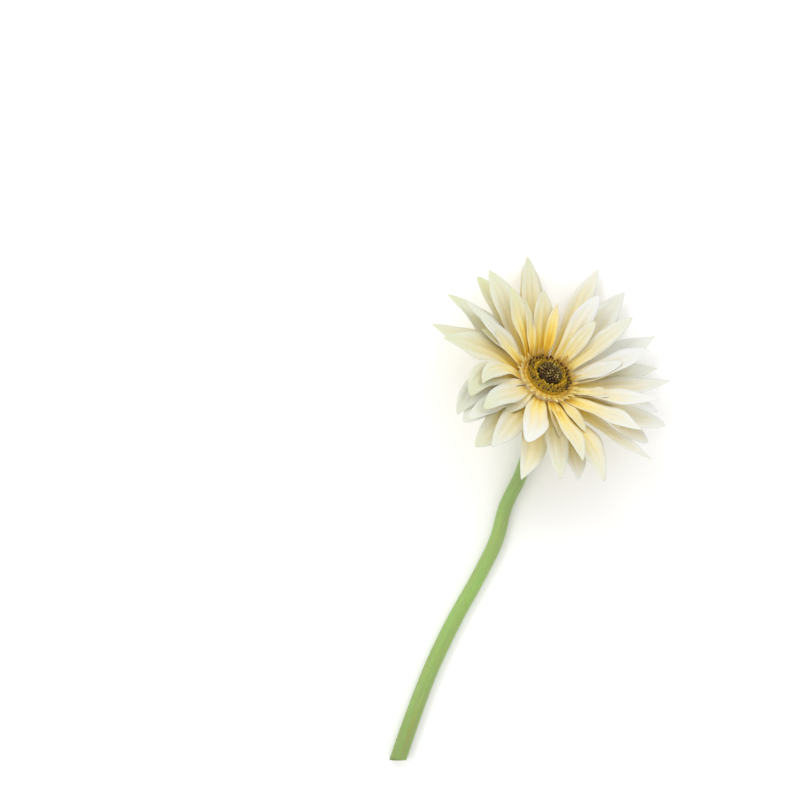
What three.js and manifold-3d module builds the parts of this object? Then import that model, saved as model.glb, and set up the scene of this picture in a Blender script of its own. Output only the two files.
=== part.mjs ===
// Gerbera daisy: one cut flower, laid on a surface with its face turned up and away from the stem.
// Lengths are millimetres and angles are degrees. The surface is z = 0, the cut end is at -Y and the
// bloom at +Y.
import * as THREE from "three";
import Module from "manifold-3d";

const wasm = await Module();
wasm.setup();

// Bloom: the middle of its face, and how far and which way the face leans from level
const BLOOM_CENTRE = new THREE.Vector3(6.7, 56.4, 28.6);
const FACE_LEAN = 46;
const LEAN_TOWARDS = 58;

// Clearance between neighbouring pieces, and the size under which a fused solid's slivers are merged
const GAP = 0.3;
const SLIVER = 0.01;

// Scape: points of its middle line from the cut end to where the neck leaves the surface, measured
// from the bloom's centre, and its radius at the cut, at the neck and at the head
const SCAPE_PATH = [
  [-63.2, -166.3],
  [-57.4, -149.5],
  [-48.6, -126.5],
  [-38.8, -106.0],
  [-28.0, -86.5],
  [-20.2, -70.5],
  [-16.0, -55.5],
];
const NECK_PATH = [
  [-9.8, -42.3, 4.2],
  [-5.6, -28.8, 7.6],
  [-6.6, -17.8, 12.4],
];
const NECK_START = 0.8;
const FLARE_START = 0.9;
const CUT_RADIUS = 3.6;
const NECK_RADIUS = 2.95;
const HEAD_RADIUS = 4.3;
const SCAPE_SIDES = 12;
const SCAPE_STEPS = 40;
const LYING_WITHIN = 0.1;

// Involucre: the green cup under the head, from its base up to its rim, and its rows of bracts. A
// bract's outline is the share of its width at equal steps from its foot to its tip.
const CUP_BASE = -15.5;
const CUP_RIM = -4.4;
const CUP_RADIUS = 12.6;
const BRACT_ROWS = [
  { count: 12, from: -14.8, to: -8.4, width: 3.8, spread: 1.0 },
  { count: 14, from: -12.6, to: -7.0, width: 3.8, spread: 1.4 },
  { count: 16, from: -10.0, to: -5.7, width: 3.6, spread: 1.8 },
];
const BRACT_OUTLINE = [1, 1, 0.7, 0.12];
const BRACT_THICKNESS = 0.8;
const CUP_STEPS = 5;

// Ray florets: four layers of petals, from the outermost and lowest to the innermost. The last three
// lists hold a layer's level and what the petals on the downhill side and on the left add to it.
const RAY_LAYERS = [
  {
    count: 15, seed: 3507, phase: 3.7, length: 42.9, width: 12.4, rootHeight: -2.2,
    longer: [0.1, 0], rise: [12.2, 5.4, -0.9], fall: [-21.7, 23.4, 8],
  },
  {
    count: 15, seed: 2995, phase: 11.3, length: 42.5, width: 11.4, rootHeight: -1.5,
    longer: [0.1, -0.07], rise: [17.9, 4.5, 5], fall: [8.6, 27.9, -3.3],
  },
  {
    count: 12, seed: 1299, phase: 6.9, length: 35.5, width: 9.6, rootHeight: -0.8,
    longer: [-0.05, -0.1], rise: [36, 12, 0.7], fall: [12, 25.5, -8],
  },
  {
    count: 10, seed: 54170, phase: 27, length: 23.2, width: 6.6, rootHeight: -0.2,
    longer: [0.08, 0.06], rise: [36, 20, 0], fall: [2, 36, 0],
  },
];
const RAY_ROOT_RADIUS = 11.5;
const RAY_THICKNESS = 0.7;
const RAY_STEPS = 9;
const RAY_ROOT_SHARE = 0.48;
const RAY_WIDEST_AT = 0.56;
const RAY_TIP_SHARE = 0.07;
const RAY_TIP_ROUNDING = 0.85;
const RAY_BEND = 1.3;
const RAY_CUP = { root: 0.16, tip: 0.04 };
const RAY_SPREAD = { turn: 0.28, length: 0.08, width: 0.2, rise: 4, fall: 8, roll: 16 };
const RAY_CLEARANCE = 0.05;
const RAY_DROOP = { azimuth: 125, swing: 74, narrowness: 16 };
const RAY_HUB = [[11.1, CUP_RIM + GAP], [12.1, -3.1], [12.1, 0.1], [11.2, 0.1], [11.2, -0.9]];

// Florets between the rays and the disc
const TRANS_COUNT = 30;
const TRANS_LENGTH = 5.5;
const TRANS_WIDTH = 2.0;
const TRANS_THICKNESS = 0.6;
const TRANS_STEPS = 3;
const TRANS_SEED = 17;
const TRANS_SPREAD = { turn: 0.2, length: 0.25, rise: 3 };
const TRANS_RISE = { level: 55, byDown: 15, bend: 30 };
const TRANS_ROOT = { radius: 10.2, height: 0.2 };
const TRANS_HUB = [[9.6, -0.6], [10.6, -0.1], [10.0, 0.8]];

// Disc: open florets in rings, and the dome of closed buds inside them
const DISC_CORE = [[9.6, 1.1], [9.6, 1.9], [8.4, 2.4], [5.8, 2.8]];
const DISC_RINGS = [
  { count: 18, radius: 6.6, foot: 2.0, lean: 4 },
  { count: 21, radius: 7.8, foot: 1.7, lean: 12 },
  { count: 24, radius: 8.9, foot: 1.5, lean: 20 },
];
const FLORET_HEIGHT = 2.6;
const FLORET_GIRTH = 0.8;
const FLORET_TAPER = 0.55;
const BORE_TOP = 9;
const HEART_RADIUS = 5.2;
const HEART_BASE = 1.1;
const HEART_EDGE = 4.6;
const HEART_RISE = 1.8;
const HEART_STEPS = 4;
const BUD_COUNT = 40;
const BUD_HEIGHTS = [1.2, 1.5];
const BUD_GIRTH = 0.5;
const BUD_LEAN = 5;
const SMALL_SIDES = 4;
const ROUND_SIDES = 20;
const WIDE_SIDES = 24;
const GOLDEN_ANGLE = 137.508;

const radians = THREE.MathUtils.degToRad;
const UP = new THREE.Vector3(0, 0, 1);

// The head's own directions: out of the face, down its slope, and level across it
const lean = radians(FACE_LEAN);
const towards = radians(LEAN_TOWARDS);
const OUT_OF_FACE = new THREE.Vector3(
  Math.sin(lean) * Math.cos(towards),
  Math.sin(lean) * Math.sin(towards),
  Math.cos(lean),
);
const DOWNHILL = new THREE.Vector3(
  Math.cos(lean) * Math.cos(towards),
  Math.cos(lean) * Math.sin(towards),
  -Math.sin(lean),
);
const LEVEL = new THREE.Vector3().crossVectors(OUT_OF_FACE, DOWNHILL);

// Direction out from the head's axis, and a point of the head at a radius and a height on the axis
function outward(angle) {
  const a = radians(angle);
  return DOWNHILL.clone().multiplyScalar(Math.cos(a)).addScaledVector(LEVEL, Math.sin(a));
}

function headPoint(angle, radius, height) {
  return BLOOM_CENTRE.clone()
    .addScaledVector(outward(angle), radius)
    .addScaledVector(OUT_OF_FACE, height);
}

// Seeded draws, each between -1 and 1
function seededDraws(seed) {
  let state = seed;
  return () => {
    state = (state * 16807) % 2147483647;
    return (2 * state) / 2147483647 - 1;
  };
}

// A closed solid of points and triangles, turned so that its faces point out
function solidOf(points, triangles) {
  const volume = triangles.reduce((sum, [a, b, c]) => {
    return sum + points[a].dot(points[b].clone().cross(points[c]));
  }, 0);
  const ordered = volume < 0 ? triangles.map(([a, b, c]) => [a, c, b]) : triangles;
  const vertProperties = new Float32Array(points.flatMap((p) => [p.x, p.y, p.z]));
  const triVerts = new Uint32Array(ordered.flat());
  return new wasm.Manifold(new wasm.Mesh({ numProp: 3, vertProperties, triVerts }));
}

// A solid through rings of points, all with the same count, closed flat at both ends
function loft(rings) {
  const count = rings[0].length;
  const triangles = [];
  for (let i = 0; i + 1 < rings.length; i++) {
    for (let k = 0; k < count; k++) {
      const a = i * count + k;
      const b = i * count + ((k + 1) % count);
      triangles.push([a, b, b + count], [a, b + count, a + count]);
    }
  }
  const last = (rings.length - 1) * count;
  for (let k = 1; k + 1 < count; k++) {
    triangles.push([0, k + 1, k], [last, last + k, last + k + 1]);
  }
  return solidOf(rings.flat(), triangles);
}

// A thin blade through rows of points, each from one edge to the other: the rows are moved half the
// thickness to both sides, and both faces are split along the same diagonals
function blade(rows, thickness) {
  const across = rows[0].length;
  const faces = [[], []];
  rows.forEach((row, i) => {
    row.forEach((point, j) => {
      const along = rows[Math.min(i + 1, rows.length - 1)][j].clone();
      along.sub(rows[Math.max(i - 1, 0)][j]);
      const side = row[Math.min(j + 1, across - 1)].clone().sub(row[Math.max(j - 1, 0)]);
      const normal = side.cross(along).normalize();
      faces[0].push(point.clone().addScaledVector(normal, thickness / 2));
      faces[1].push(point.clone().addScaledVector(normal, -thickness / 2));
    });
  });
  const under = faces[0].length;
  const triangles = [];
  const wall = (a, b) => triangles.push([b, a, a + under], [b, a + under, b + under]);
  for (let i = 0; i + 1 < rows.length; i++) {
    for (let j = 0; j + 1 < across; j++) {
      const a = i * across + j;
      const c = a + across + 1;
      triangles.push([a, c, a + 1], [a, a + across, c]);
      triangles.push([a + under, a + 1 + under, c + under], [a + under, c + under, a + across + under]);
    }
    wall(i * across, (i + 1) * across);
    wall((i + 2) * across - 1, (i + 1) * across - 1);
  }
  for (let j = 0; j + 1 < across; j++) {
    wall(j + 1, j);
    wall((rows.length - 1) * across + j, (rows.length - 1) * across + j + 1);
  }
  return solidOf(faces.flat(), triangles);
}

// A solid turned about the head's axis, through points of radius and height
function turned(profile, sides) {
  const rings = profile.map(([radius, height]) => {
    return Array.from({ length: sides }, (_, k) => headPoint((360 * k) / sides, radius, height));
  });
  return loft(rings);
}

// The solids fused into one: a hollow that they seal between them is filled, a loose scrap dropped
function joined(solids) {
  const bodies = solids.reduce((whole, next) => whole.add(next)).asOriginal().simplify(SLIVER).decompose();
  return bodies.reduce((largest, body) => (body.volume() > largest.volume() ? body : largest));
}

function meshOf(name, solid, colour, roughness) {
  const { numProp, vertProperties, triVerts } = solid.getMesh();
  const geometry = new THREE.BufferGeometry();
  const positions = new Float32Array((vertProperties.length / numProp) * 3);
  for (let i = 0; i * numProp < vertProperties.length; i++) {
    positions.set(vertProperties.subarray(i * numProp, i * numProp + 3), i * 3);
  }
  geometry.setAttribute("position", new THREE.BufferAttribute(positions, 3));
  geometry.setIndex(new THREE.BufferAttribute(triVerts, 1));
  geometry.computeVertexNormals();
  const material = new THREE.MeshStandardMaterial({ color: colour, roughness, metalness: 0 });
  const mesh = new THREE.Mesh(geometry, material);
  mesh.name = name;
  return mesh;
}

// Scape: a tube with a level facet underneath, lying on the surface and arching up to the head
function scapeRadius(share) {
  const taper = THREE.MathUtils.lerp(CUT_RADIUS, NECK_RADIUS, Math.min(share / NECK_START, 1));
  const flare = Math.max((share - FLARE_START) / (1 - FLARE_START), 0);
  return taper + (HEAD_RADIUS - NECK_RADIUS) * flare * flare;
}

function scape() {
  const apothem = Math.cos(Math.PI / SCAPE_SIDES);
  const neckTop = headPoint(0, 0, CUP_BASE - GAP);
  const lying = SCAPE_PATH.map(([x, y], i) => {
    const share = (NECK_START * i) / (SCAPE_PATH.length - 1);
    const z = apothem * scapeRadius(share);
    return new THREE.Vector3(BLOOM_CENTRE.x + x, BLOOM_CENTRE.y + y, z);
  });
  const neck = NECK_PATH.map(([x, y, z]) => {
    return new THREE.Vector3(BLOOM_CENTRE.x + x, BLOOM_CENTRE.y + y, z);
  });
  const path = new THREE.CatmullRomCurve3([...lying, ...neck, neckTop]);
  const cutLine = lying[0].y;
  const rings = [];
  for (let i = 0; i <= SCAPE_STEPS; i++) {
    const share = i / SCAPE_STEPS;
    const radius = scapeRadius(share);
    const middle = path.getPointAt(share);
    const along = i === SCAPE_STEPS ? OUT_OF_FACE.clone() : path.getTangentAt(share);
    if (middle.z < apothem * radius + LYING_WITHIN) {
      middle.z = apothem * radius;
      along.setZ(0).normalize();
    }
    const side = along.clone().cross(UP).normalize();
    const over = side.clone().cross(along);
    const ring = [];
    for (let k = 0; k < SCAPE_SIDES; k++) {
      const a = (2 * Math.PI * (k + 0.5)) / SCAPE_SIDES;
      const point = middle.clone();
      point.addScaledVector(side, radius * Math.sin(a)).addScaledVector(over, -radius * Math.cos(a));
      if (i === 0) point.addScaledVector(along, (cutLine - point.y) / along.y);
      ring.push(point);
    }
    rings.push(ring);
  }
  return loft(rings);
}

// Involucre: the cup, with pointed bracts that follow its side and stand a little off it at the tip
function cupRadius(height) {
  const share = THREE.MathUtils.clamp((height - CUP_BASE) / (CUP_RIM - CUP_BASE), 0, 1);
  return HEAD_RADIUS + 0.2 + (CUP_RADIUS - HEAD_RADIUS - 0.2) * Math.sin((Math.PI / 2) * share) ** 0.8;
}

function bract(row, turn) {
  const rows = BRACT_OUTLINE.map((wide, i) => {
    const share = i / (BRACT_OUTLINE.length - 1);
    const height = THREE.MathUtils.lerp(row.from, row.to, share);
    const radius = cupRadius(height) + 0.1 + row.spread * share * share;
    const swing = THREE.MathUtils.radToDeg(((row.width / 2) * wide) / radius);
    return [-1, 1].map((side) => headPoint(turn + side * swing, radius, height));
  });
  return blade(rows, BRACT_THICKNESS);
}

function involucre() {
  const profile = [];
  for (let i = 0; i <= CUP_STEPS; i++) {
    const height = THREE.MathUtils.lerp(CUP_BASE, CUP_RIM, i / CUP_STEPS);
    profile.push([cupRadius(height), height]);
  }
  const bracts = BRACT_ROWS.flatMap((row, r) => {
    return Array.from({ length: row.count }, (_, k) => bract(row, (360 * (k + r / 2)) / row.count));
  });
  return joined([turned(profile, ROUND_SIDES), ...bracts]);
}

// Ray floret: a strap petal with a narrow root, widest past its middle and pointed at the tip. Its
// middle line climbs at the rise angle at the root and bends over to the fall angle at the tip. The
// petals round the droop's azimuth also hang over to one side.
function rayWidthShare(share) {
  const quarterTurn = Math.PI / 2;
  if (share < RAY_WIDEST_AT) {
    const growth = Math.sin((quarterTurn * share) / RAY_WIDEST_AT) ** 2;
    return THREE.MathUtils.lerp(RAY_ROOT_SHARE, 1, growth);
  }
  const towardsTip = (share - RAY_WIDEST_AT) / (1 - RAY_WIDEST_AT);
  return Math.max(Math.cos(quarterTurn * towardsTip) ** RAY_TIP_ROUNDING, RAY_TIP_SHARE);
}

// What would sink into the surface lies along it instead
function settled(point, clearance) {
  const softness = 0.8;
  const depth = (point.z - clearance) / softness;
  point.z = clearance + softness * (Math.max(depth, 0) + Math.log1p(Math.exp(-Math.abs(depth))));
  return point;
}

function rayRows(layer, ray) {
  const nearness = Math.max(Math.cos(radians(ray.azimuth - RAY_DROOP.azimuth)), 0);
  const swing = RAY_DROOP.swing * nearness ** RAY_DROOP.narrowness;
  const point = headPoint(ray.azimuth, RAY_ROOT_RADIUS, layer.rootHeight);
  const rows = [];
  for (let i = 0; i <= RAY_STEPS; i++) {
    const share = i / RAY_STEPS;
    const out = outward(ray.azimuth + swing * share ** RAY_BEND);
    const across = new THREE.Vector3().crossVectors(OUT_OF_FACE, out);
    const slope = radians(ray.rise + (ray.fall - ray.rise) * share ** RAY_BEND);
    const along = out.clone().multiplyScalar(Math.cos(slope)).addScaledVector(OUT_OF_FACE, Math.sin(slope));
    const over = OUT_OF_FACE.clone().multiplyScalar(Math.cos(slope)).addScaledVector(out, -Math.sin(slope));
    const roll = radians(ray.roll * share);
    const side = across.clone().multiplyScalar(Math.cos(roll)).addScaledVector(over, Math.sin(roll));
    const half = (ray.width / 2) * rayWidthShare(share);
    const cup = half * THREE.MathUtils.lerp(RAY_CUP.root, RAY_CUP.tip, share);
    const middle = point.clone().addScaledVector(over, -cup);
    const left = point.clone().addScaledVector(side, half);
    const right = point.clone().addScaledVector(side, -half);
    rows.push([left, middle, right].map((p) => settled(p, RAY_THICKNESS / 2 + RAY_CLEARANCE)));
    point.addScaledVector(along, ray.length / RAY_STEPS);
  }
  return rows;
}

function rayPetals() {
  const petals = [];
  for (const layer of RAY_LAYERS) {
    const draw = seededDraws(layer.seed);
    for (let i = 0; i < layer.count; i++) {
      const azimuth = layer.phase + (360 * (i + RAY_SPREAD.turn * draw())) / layer.count;
      const down = Math.cos(radians(azimuth));
      const left = Math.sin(radians(azimuth));
      const wave = ([level, byDown, byLeft]) => level + byDown * down + byLeft * left;
      const length = layer.length * (wave([1, ...layer.longer]) + RAY_SPREAD.length * draw());
      const width = layer.width * (1 + RAY_SPREAD.width * draw());
      const rise = wave(layer.rise) + RAY_SPREAD.rise * draw();
      const fall = wave(layer.fall) + RAY_SPREAD.fall * draw();
      const roll = RAY_SPREAD.roll * Math.sin(radians(GOLDEN_ANGLE * i));
      petals.push(blade(rayRows(layer, { azimuth, length, width, rise, fall, roll }), RAY_THICKNESS));
    }
  }
  return joined([turned(RAY_HUB, WIDE_SIDES), ...petals]);
}

// Trans florets: short narrow straps that stand up round the disc
function transFlorets() {
  const straps = [];
  const draw = seededDraws(TRANS_SEED);
  for (let i = 0; i < TRANS_COUNT; i++) {
    const azimuth = (360 * (i + TRANS_SPREAD.turn * draw())) / TRANS_COUNT;
    const length = TRANS_LENGTH * (1 + TRANS_SPREAD.length * draw());
    const facing = TRANS_RISE.level + TRANS_RISE.byDown * Math.cos(radians(azimuth));
    const rise = facing + TRANS_SPREAD.rise * draw();
    const out = outward(azimuth);
    const across = new THREE.Vector3().crossVectors(OUT_OF_FACE, out);
    const point = headPoint(azimuth, TRANS_ROOT.radius, TRANS_ROOT.height);
    const rows = [];
    for (let s = 0; s <= TRANS_STEPS; s++) {
      const share = s / TRANS_STEPS;
      const slope = radians(rise - TRANS_RISE.bend * share);
      const half = (TRANS_WIDTH / 2) * Math.max(Math.sin(Math.PI * (0.2 + 0.75 * share)), 0.2);
      rows.push([1, -1].map((side) => point.clone().addScaledVector(across, side * half)));
      point.addScaledVector(out, (Math.cos(slope) * length) / TRANS_STEPS);
      point.addScaledVector(OUT_OF_FACE, (Math.sin(slope) * length) / TRANS_STEPS);
    }
    straps.push(blade(rows, TRANS_THICKNESS));
  }
  return joined([turned(TRANS_HUB, WIDE_SIDES), ...straps]);
}

// A small upright floret: a tapered prism on the head, leaning out from its axis
function floret(azimuth, radius, foot, height, lean, girth) {
  const out = outward(azimuth);
  const axis = OUT_OF_FACE.clone().multiplyScalar(Math.cos(radians(lean)));
  axis.addScaledVector(out, Math.sin(radians(lean)));
  const across = new THREE.Vector3().crossVectors(OUT_OF_FACE, out);
  const inward = new THREE.Vector3().crossVectors(across, axis);
  const base = headPoint(azimuth, radius, foot);
  const rings = [[0, 1], [1, FLORET_TAPER]].map(([share, wide]) => {
    return Array.from({ length: SMALL_SIDES }, (_, k) => {
      const a = (2 * Math.PI * k) / SMALL_SIDES;
      return base.clone()
        .addScaledVector(axis, height * share)
        .addScaledVector(across, girth * wide * Math.cos(a))
        .addScaledVector(inward, girth * wide * Math.sin(a));
    });
  });
  return loft(rings);
}

function discFlorets() {
  const florets = DISC_RINGS.flatMap(({ count, radius, foot, lean: tilt }, r) => {
    return Array.from({ length: count }, (_, k) => {
      return floret((360 * (k + r / 2)) / count, radius, foot, FLORET_HEIGHT, tilt, FLORET_GIRTH);
    });
  });
  const boreRadius = HEART_RADIUS + GAP;
  const bore = turned([[boreRadius, 0], [boreRadius, BORE_TOP]], ROUND_SIDES);
  return joined([turned(DISC_CORE, ROUND_SIDES), ...florets]).subtract(bore);
}

function discHeart() {
  const top = (radius) => HEART_EDGE + HEART_RISE * (1 - (radius / HEART_RADIUS) ** 2);
  const profile = [[HEART_RADIUS, HEART_BASE]];
  for (let i = 0; i <= HEART_STEPS; i++) {
    const radius = HEART_RADIUS * (1 - i / (HEART_STEPS + 0.4));
    profile.push([radius, top(radius)]);
  }
  const buds = Array.from({ length: BUD_COUNT }, (_, i) => {
    const radius = (HEART_RADIUS - 1.5 * BUD_GIRTH) * Math.sqrt((i + 0.5) / BUD_COUNT);
    const height = BUD_HEIGHTS[i % 2];
    return floret(GOLDEN_ANGLE * i, radius, top(radius) - BUD_GIRTH, height, BUD_LEAN * radius, BUD_GIRTH);
  });
  return joined([turned(profile, ROUND_SIDES), ...buds]);
}

const flower = new THREE.Group();
flower.add(meshOf("stem", scape(), "#8fae5a", 0.55));
flower.add(meshOf("involucre", involucre(), "#8aa555", 0.7));
flower.add(meshOf("ray_petals", rayPetals(), "#f3ead0", 0.6));
flower.add(meshOf("trans_florets", transFlorets(), "#eddcae", 0.6));
flower.add(meshOf("disc_florets", discFlorets(), "#b08a35", 0.7));
flower.add(meshOf("disc_heart", discHeart(), "#3a2a1c", 0.75));

export default flower;
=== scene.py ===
import math

import bpy
import numpy as np
from mathutils import Matrix, Vector


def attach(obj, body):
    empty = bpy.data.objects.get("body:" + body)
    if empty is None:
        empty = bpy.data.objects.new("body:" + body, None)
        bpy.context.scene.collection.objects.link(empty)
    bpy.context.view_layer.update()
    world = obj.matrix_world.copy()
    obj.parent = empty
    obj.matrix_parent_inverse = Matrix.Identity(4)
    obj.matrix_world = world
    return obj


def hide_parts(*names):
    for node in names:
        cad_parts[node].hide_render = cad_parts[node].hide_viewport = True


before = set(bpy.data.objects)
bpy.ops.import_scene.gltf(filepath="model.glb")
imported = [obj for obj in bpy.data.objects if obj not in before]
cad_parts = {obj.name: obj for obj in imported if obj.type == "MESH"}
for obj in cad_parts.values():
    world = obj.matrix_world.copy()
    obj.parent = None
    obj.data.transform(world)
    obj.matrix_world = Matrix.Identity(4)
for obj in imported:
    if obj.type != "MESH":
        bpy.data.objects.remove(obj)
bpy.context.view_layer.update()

# Scape
# The bare stalk of the flower: soft green tissue round a pale pith, finely ridged and downy. It was
# cut a little aslant, lies along the surface with its underside a little flattened, and bends up to
# the head that it carries.
MM = 0.001
BLOOM_CENTRE = np.array((6.7, 56.4, 28.6))
FACE_LEAN = math.radians(46)
LEAN_TOWARDS = math.radians(58)
GAP = 0.3
CUP_BASE = -15.5
SCAPE_PATH = [(-63.2, -166.3), (-57.4, -149.5), (-48.6, -126.5), (-38.8, -106.0)]
SCAPE_PATH += [(-28.0, -86.5), (-20.2, -70.5), (-16.0, -55.5)]
NECK_PATH = [(-9.8, -42.3, 4.2), (-5.6, -28.8, 7.6), (-6.6, -17.8, 12.4)]
NECK_START = 0.8
FLARE_START = 0.9
CUT_RADIUS = 3.6
NECK_RADIUS = 2.95
HEAD_RADIUS = 4.3
SCAPE_STEPS = 180
SCAPE_SIDES = 40
SOLID_SIDES = 12
PATH_SAMPLES = 1200
LYING_WITHIN = 0.1
RIDGES = 11
RIDGE_HEIGHT = 0.05
SWELL = 0.012
SWELL_WAVES = 23
GRAIN_RADIUS = 3.2
# Rings of the cut face, from the skin inwards: share of its radius, how pithy, and how deep
CUT_RINGS = [(0.97, 0.1, 0.12), (0.8, 0.5, 0.0), (0.5, 0.75, 0.15), (0.2, 0.9, 0.45)]
PITH_DEPTH = 0.6

LEAN_WAY = np.array((math.cos(LEAN_TOWARDS), math.sin(LEAN_TOWARDS), 0))
UP = np.array((0, 0, 1))
OUT_OF_FACE = math.sin(FACE_LEAN) * LEAN_WAY + math.cos(FACE_LEAN) * UP
DOWNHILL = math.cos(FACE_LEAN) * LEAN_WAY - math.sin(FACE_LEAN) * UP
LEVEL = np.cross(OUT_OF_FACE, DOWNHILL)


def outwards(angle):
    """The direction out from the head's axis at an angle round it, along the face."""
    return DOWNHILL * math.cos(angle) + LEVEL * math.sin(angle)


def head_point(angle, radius, height):
    """A point of the head at an angle round its axis, a radius, and a height out of the face."""
    return BLOOM_CENTRE + outwards(angle) * radius + OUT_OF_FACE * height


def unit(vectors):
    return vectors / np.linalg.norm(vectors, axis=-1, keepdims=True)


def linear(hex_colour):
    """An sRGB colour such as "#8fae5a" as linear red, green, blue and full cover."""
    parts = [int(hex_colour[i : i + 2], 16) / 255 for i in (1, 3, 5)]
    return [c / 12.92 if c <= 0.04045 else ((c + 0.055) / 1.055) ** 2.4 for c in parts] + [1.0]


def output_of(source):
    """The output that is given, or a node's first one in use."""
    if hasattr(source, "outputs"):
        return next(output for output in source.outputs if output.enabled)
    return source


def add_node(tree, kind, settings=None, links=None):
    """Adds a node: settings fill its properties, input sockets or a ramp's stops, given as positions
    and hex colours, and links join its sockets to other nodes or their outputs."""
    node = tree.nodes.new(kind)
    for name, value in (settings or {}).items():
        if name == "stops":
            elements = node.color_ramp.elements
            while len(elements) < len(value):
                elements.new(0.5)
            for element, (position, hex_colour) in zip(elements, value):
                element.position = position
                element.color = linear(hex_colour)
        elif isinstance(name, str) and hasattr(node, name):
            setattr(node, name, value)
        else:
            node.inputs[name].default_value = value
    for name, source in (links or {}).items():
        tree.links.new(output_of(source), node.inputs[name])
    return node


def new_material(name, **settings):
    """A material with these settings of its shader, and the node tree to build its colour in."""
    material = bpy.data.materials.new(name)
    material.use_nodes = True
    shader = material.node_tree.nodes["Principled BSDF"]
    for socket, value in settings.items():
        shader.inputs[socket.replace("_", " ")].default_value = value
    return material, material.node_tree


def finish_material(tree, colour, height=None, **bump):
    """Joins the colour to the material's shader, and a height to it as bumps in its surface."""
    shader = tree.nodes["Principled BSDF"]
    tree.links.new(output_of(colour), shader.inputs["Base Color"])
    if height is not None:
        relief = add_node(tree, "ShaderNodeBump", bump, {"Height": height})
        tree.links.new(relief.outputs[0], shader.inputs["Normal"])


def mesh_object(name, points, faces, material, **attributes):
    """A smooth mesh object at the origin, with one value or vector for each point in attributes."""
    mesh = bpy.data.meshes.new(name)
    mesh.from_pydata((np.asarray(points) * MM).tolist(), [], [tuple(face) for face in faces])
    for attribute, values in attributes.items():
        values = np.asarray(values, np.float32)
        is_vector = values.ndim == 2
        layer = mesh.attributes.new(attribute, "FLOAT_VECTOR" if is_vector else "FLOAT", "POINT")
        layer.data.foreach_set("vector" if is_vector else "value", values.ravel())
    mesh.polygons.foreach_set("use_smooth", [True] * len(mesh.polygons))
    mesh.materials.append(material)
    mesh.update()
    piece = bpy.data.objects.new(name, mesh)
    bpy.context.scene.collection.objects.link(piece)
    return piece


def belongs(piece, finish, *nodes):
    """The piece goes with the flower's one body and stands for those solids; finish is not used."""
    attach(piece, "root")
    if nodes:
        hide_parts(*nodes)


def tube_faces(rings, sides, first=0):
    """Quads between rings of points that run counter-clockwise seen from where the tube goes."""
    faces = []
    for i in range(rings - 1):
        for k in range(sides):
            a = first + i * sides + k
            b = first + i * sides + (k + 1) % sides
            faces.append((a, b, b + sides, a + sides))
    return faces


def curve_point(points, t):
    """A point of the centripetal Catmull-Rom curve through the points, t from 0 to 1."""
    last = len(points) - 1
    position = last * t
    i = min(int(position), last - 1)
    weight = position - i
    before = points[i - 1] if i > 0 else 2 * points[0] - points[1]
    after = points[i + 2] if i + 2 <= last else 2 * points[last] - points[last - 1]
    p1, p2 = points[i], points[i + 1]
    steps = np.array((p1 - before, p2 - p1, after - p2))
    d0, d1, d2 = np.sqrt(np.linalg.norm(steps, axis=1))
    start = d1 * ((p1 - before) / d0 - (p2 - before) / (d0 + d1) + (p2 - p1) / d1)
    end = d1 * ((p2 - p1) / d1 - (after - p1) / (d1 + d2) + (after - p2) / d2)
    bend = 3 * (p2 - p1) - 2 * start - end
    twist = 2 * (p1 - p2) + start + end
    return p1 + start * weight + bend * weight**2 + twist * weight**3


def scape_radius(share):
    taper = CUT_RADIUS + (NECK_RADIUS - CUT_RADIUS) * min(share / NECK_START, 1)
    flare = max((share - FLARE_START) / (1 - FLARE_START), 0)
    return taper + (HEAD_RADIUS - NECK_RADIUS) * flare**2


def scape_rings():
    """Rings of the scape's skin from the cut to the head, and the same in the skin's own grain."""
    apothem = math.cos(math.pi / SOLID_SIDES)
    start = BLOOM_CENTRE * (1, 1, 0)
    lying = [
        start + (x, y, apothem * scape_radius(NECK_START * i / (len(SCAPE_PATH) - 1)))
        for i, (x, y) in enumerate(SCAPE_PATH)
    ]
    neck = [start + point for point in NECK_PATH]
    guide = lying + neck + [head_point(0, 0, CUP_BASE - GAP)]
    samples = np.array([curve_point(guide, t) for t in np.linspace(0, 1, PATH_SAMPLES + 1)])
    steps = np.linalg.norm(np.diff(samples, axis=0), axis=1)
    gone = np.concatenate(([0], np.cumsum(steps)))
    wanted = np.linspace(0, gone[-1], SCAPE_STEPS + 1)
    middle = np.stack([np.interp(wanted, gone, samples[:, axis]) for axis in range(3)], axis=1)
    along = unit(np.gradient(middle, axis=0))
    along[-1] = OUT_OF_FACE
    rings, grain = [], []
    for i, (point, way) in enumerate(zip(middle, along)):
        share = i / SCAPE_STEPS
        radius = scape_radius(share)
        if point[2] < apothem * radius + LYING_WITHIN:
            point[2] = apothem * radius
            way[2] = 0
            way /= np.linalg.norm(way)
        side = unit(np.cross(way, UP))
        over = np.cross(side, way)
        for k in range(SCAPE_SIDES):
            angle = math.tau * k / SCAPE_SIDES
            swell = 1 + SWELL * math.sin(SWELL_WAVES * share) * math.cos(2 * angle)
            reach = radius * swell + RIDGE_HEIGHT * math.cos(RIDGES * angle)
            skin = point + side * reach * math.cos(angle) - over * reach * math.sin(angle)
            if i == 0:
                skin += way * (lying[0][1] - skin[1]) / way[1]
            skin[2] = max(skin[2], 0.0)
            rings.append(skin)
            grain.append((GRAIN_RADIUS * math.cos(angle), GRAIN_RADIUS * math.sin(angle), wanted[i]))
    return rings, grain
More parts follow.
